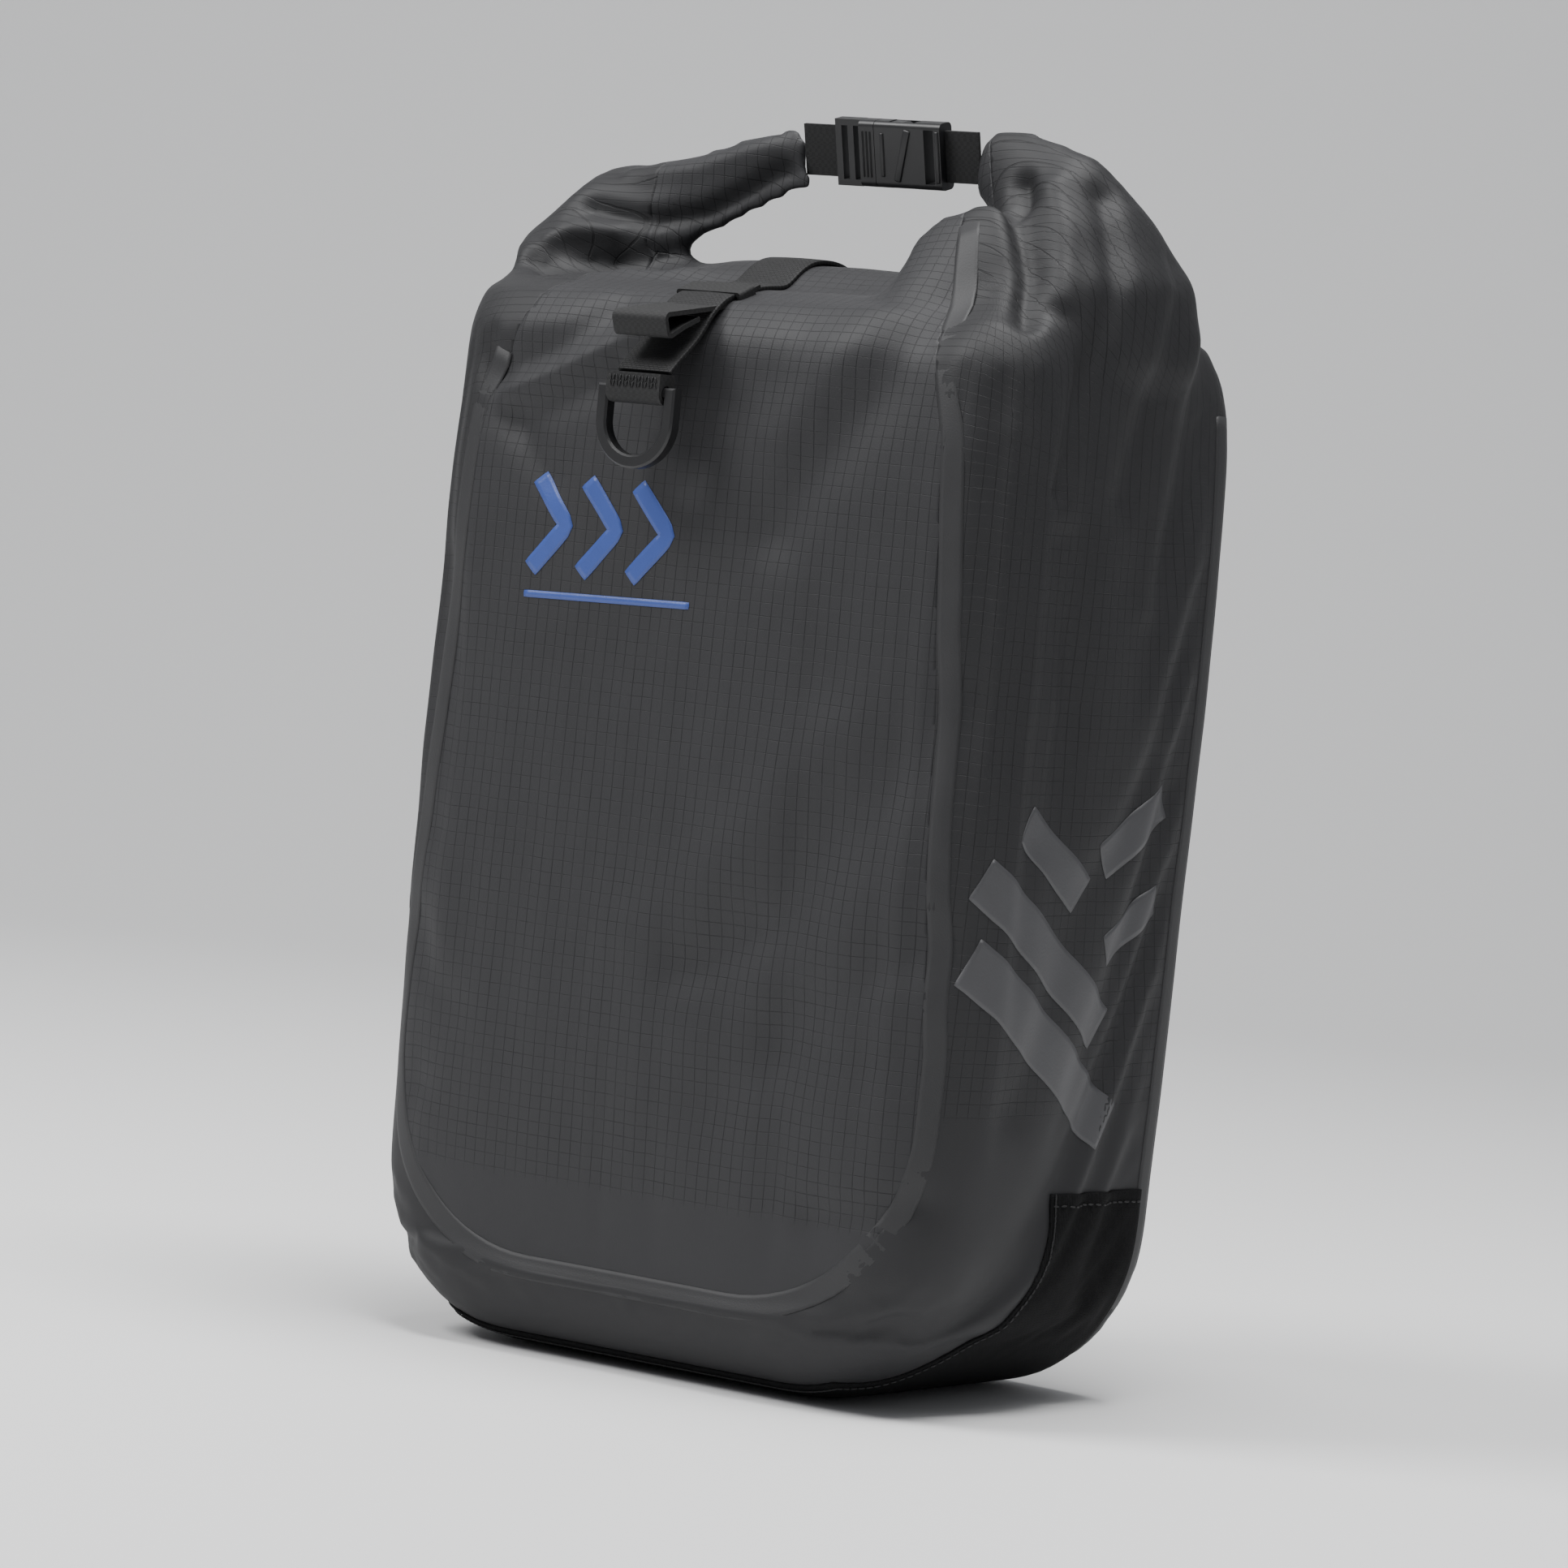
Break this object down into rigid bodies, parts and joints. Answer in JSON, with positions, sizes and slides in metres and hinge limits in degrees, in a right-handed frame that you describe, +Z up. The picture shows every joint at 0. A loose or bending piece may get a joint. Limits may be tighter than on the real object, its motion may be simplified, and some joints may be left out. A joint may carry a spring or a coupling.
{
  "type": "bicycle pannier bag",
  "caption": "Roll-top waterproof bicycle pannier with a buckled carry loop, a strap with a D-ring, and latching rack hooks on a rail.",
  "frame": {"origin": "on the flat base the bag stands on, below the middle of the rolled mouth", "axes": "+X along the bicycle, +Y from the outer face towards the rack, +Z up"},
  "size_m": [0.2928, 0.2209, 0.4862],
  "materials": {
    "shell_front": "coated ripstop, satin",
    "shell_side": "coated ripstop, satin",
    "shell_back": "coated fabric, satin",
    "wear_weave": "coarse weave",
    "webbing": "woven",
    "strap": "coated webbing",
    "board": "matt",
    "rail": "dark anodised",
    "hook_plastic": "fine grain",
    "black_plastic": "fine grain",
    "insert_plastic": "matt",
    "screw_steel": "stainless",
    "pin_steel": "ground",
    "spring_steel": "drawn wire"
  },
  "bodies": {
    "bag_body": {"front_panel": "shell_front", "gusset": "shell_side", "back_panel": "shell_back", "wear_patch": "wear_weave", "stiffener_board": "board", "top_rail": "rail", "low_rail": "rail", "rail_end_caps": "black_plastic", "top_rail_screws": "screw_steel", "top_rail_nuts": "screw_steel", "low_rail_screws": "screw_steel", "low_rail_nuts": "screw_steel", "hook_left": "hook_plastic", "hook_right": "hook_plastic", "hook_screw_left": "screw_steel", "hook_screw_right": "screw_steel", "tube_insert_left": "insert_plastic", "tube_insert_right": "insert_plastic", "latch_pin_left": "pin_steel", "latch_pin_right": "pin_steel", "latch_spring_left": "spring_steel", "latch_spring_right": "spring_steel"},
    "latch_left_body": {"latch_left": "black_plastic"},
    "latch_right_body": {"latch_right": "black_plastic"},
    "handle": {"handle_webbing": "webbing", "handle_clip_left": "black_plastic", "handle_clip_right": "black_plastic"},
    "carriage": {"anchor_carriage": "black_plastic", "anchor_screw": "screw_steel"},
    "fin": {"anchor_fin": "hook_plastic"},
    "closure": {"collar_front": "shell_front", "collar_back": "shell_back", "collar_left": "shell_side", "collar_right": "shell_side", "roll_centre": "shell_back", "mouth_strip": "board", "roll_end_left": "shell_back", "roll_end_right": "shell_side", "buckle_female": "black_plastic", "webbing_right": "webbing", "top_strap": "strap", "strap_keeper": "strap", "pull_loop": "webbing", "ring_tab": "webbing"},
    "male_half": {"buckle_male": "black_plastic", "webbing_left": "webbing"},
    "prong_upper": {"buckle_prong_upper": "black_plastic"},
    "prong_lower": {"buckle_prong_lower": "black_plastic"},
    "ring": {"d_ring": "black_plastic"}
  },
  "joints": [
    {"name": "closure_lift", "type": "slide", "parent": "bag_body", "child": "closure", "axis": [0, 0, 1], "range_m": [0, 0.12]},
    {"name": "buckle_release", "type": "slide", "parent": "closure", "child": "male_half", "axis": [-1, 0, 0], "range_m": [0, 0.024], "deforming": ["buckle_prong_upper", "buckle_prong_lower"]},
    {"name": "prong_squeeze_upper", "type": "hinge", "parent": "male_half", "child": "prong_upper", "pos_m": [0.01375, -0.00228, 0.4815], "axis": [0, 0.9659, 0.2588], "range_deg": [0, 7], "stiffness_Nm_per_rad": 0.03},
    {"name": "prong_squeeze_lower", "type": "hinge", "parent": "male_half", "child": "prong_lower", "pos_m": [0.01375, 0.00228, 0.4645], "axis": [0, 0.9659, 0.2588], "range_deg": [-7, 0], "stiffness_Nm_per_rad": 0.03},
    {"name": "d_ring_swing", "type": "hinge", "parent": "closure", "child": "ring", "pos_m": [-0.017, -0.0992, 0.372], "axis": [-1, 0, 0], "range_deg": [-5, 100]},
    {"name": "handle_lift", "type": "slide", "parent": "bag_body", "child": "handle", "axis": [0, 0, 1], "range_m": [0, 0.0048]},
    {"name": "latch_turn_left", "type": "hinge", "parent": "bag_body", "child": "latch_left_body", "pos_m": [-0.075, 0.1, 0.37], "axis": [-1, 0, 0], "range_deg": [0, 20], "stiffness_Nm_per_rad": 0.06, "springref_deg": -17.19, "deforming": ["latch_spring_left"]},
    {"name": "latch_turn_right", "type": "hinge", "parent": "bag_body", "child": "latch_right_body", "pos_m": [0.075, 0.1, 0.37], "axis": [-1, 0, 0], "range_deg": [0, 20], "stiffness_Nm_per_rad": 0.06, "springref_deg": -17.19, "deforming": ["latch_spring_right"]},
    {"name": "anchor_slide", "type": "slide", "parent": "bag_body", "child": "carriage", "axis": [1, 0, 0], "range_m": [-0.047, 0.047]},
    {"name": "anchor_swivel", "type": "hinge", "parent": "carriage", "child": "fin", "pos_m": [0, 0.1, 0.122], "axis": [0, 1, 0], "continuous": true}
  ],
  "couplings": [
    {"joint": "latch_turn_left", "follows": "handle_lift", "rad_per_m": 72},
    {"joint": "latch_turn_right", "follows": "handle_lift", "rad_per_m": 72},
    {"joint": "prong_squeeze_lower", "follows": "prong_squeeze_upper", "ratio": -1}
  ]
}
